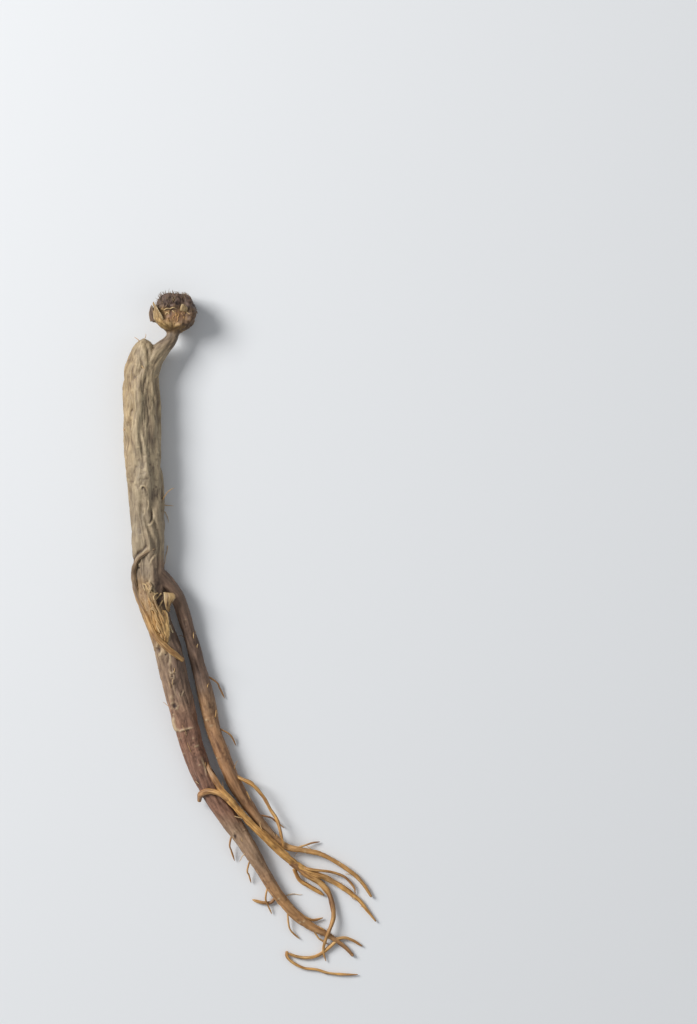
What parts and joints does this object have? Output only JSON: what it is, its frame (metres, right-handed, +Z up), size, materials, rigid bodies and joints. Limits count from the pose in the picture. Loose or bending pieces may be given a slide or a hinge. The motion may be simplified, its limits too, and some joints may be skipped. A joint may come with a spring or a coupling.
{
  "type": "dried ginseng root",
  "caption": "Dried red ginseng root lying on its belly: cup-shaped rhizome head on a thin neck, furrowed body, forked legs and golden trailing rootlets.",
  "frame": {"origin": "middle of the root's bounding box, on the plane the root lies on", "axes": "+Y along the root from the rootlets to the head, +Z up from the table"},
  "size_m": [0.0586, 0.1574, 0.009],
  "materials": {
    "root_skin": "matt, wrinkled dried root skin"
  },
  "bodies": {
    "root": {"ginseng_root": "root_skin"}
  },
  "joints": []
}
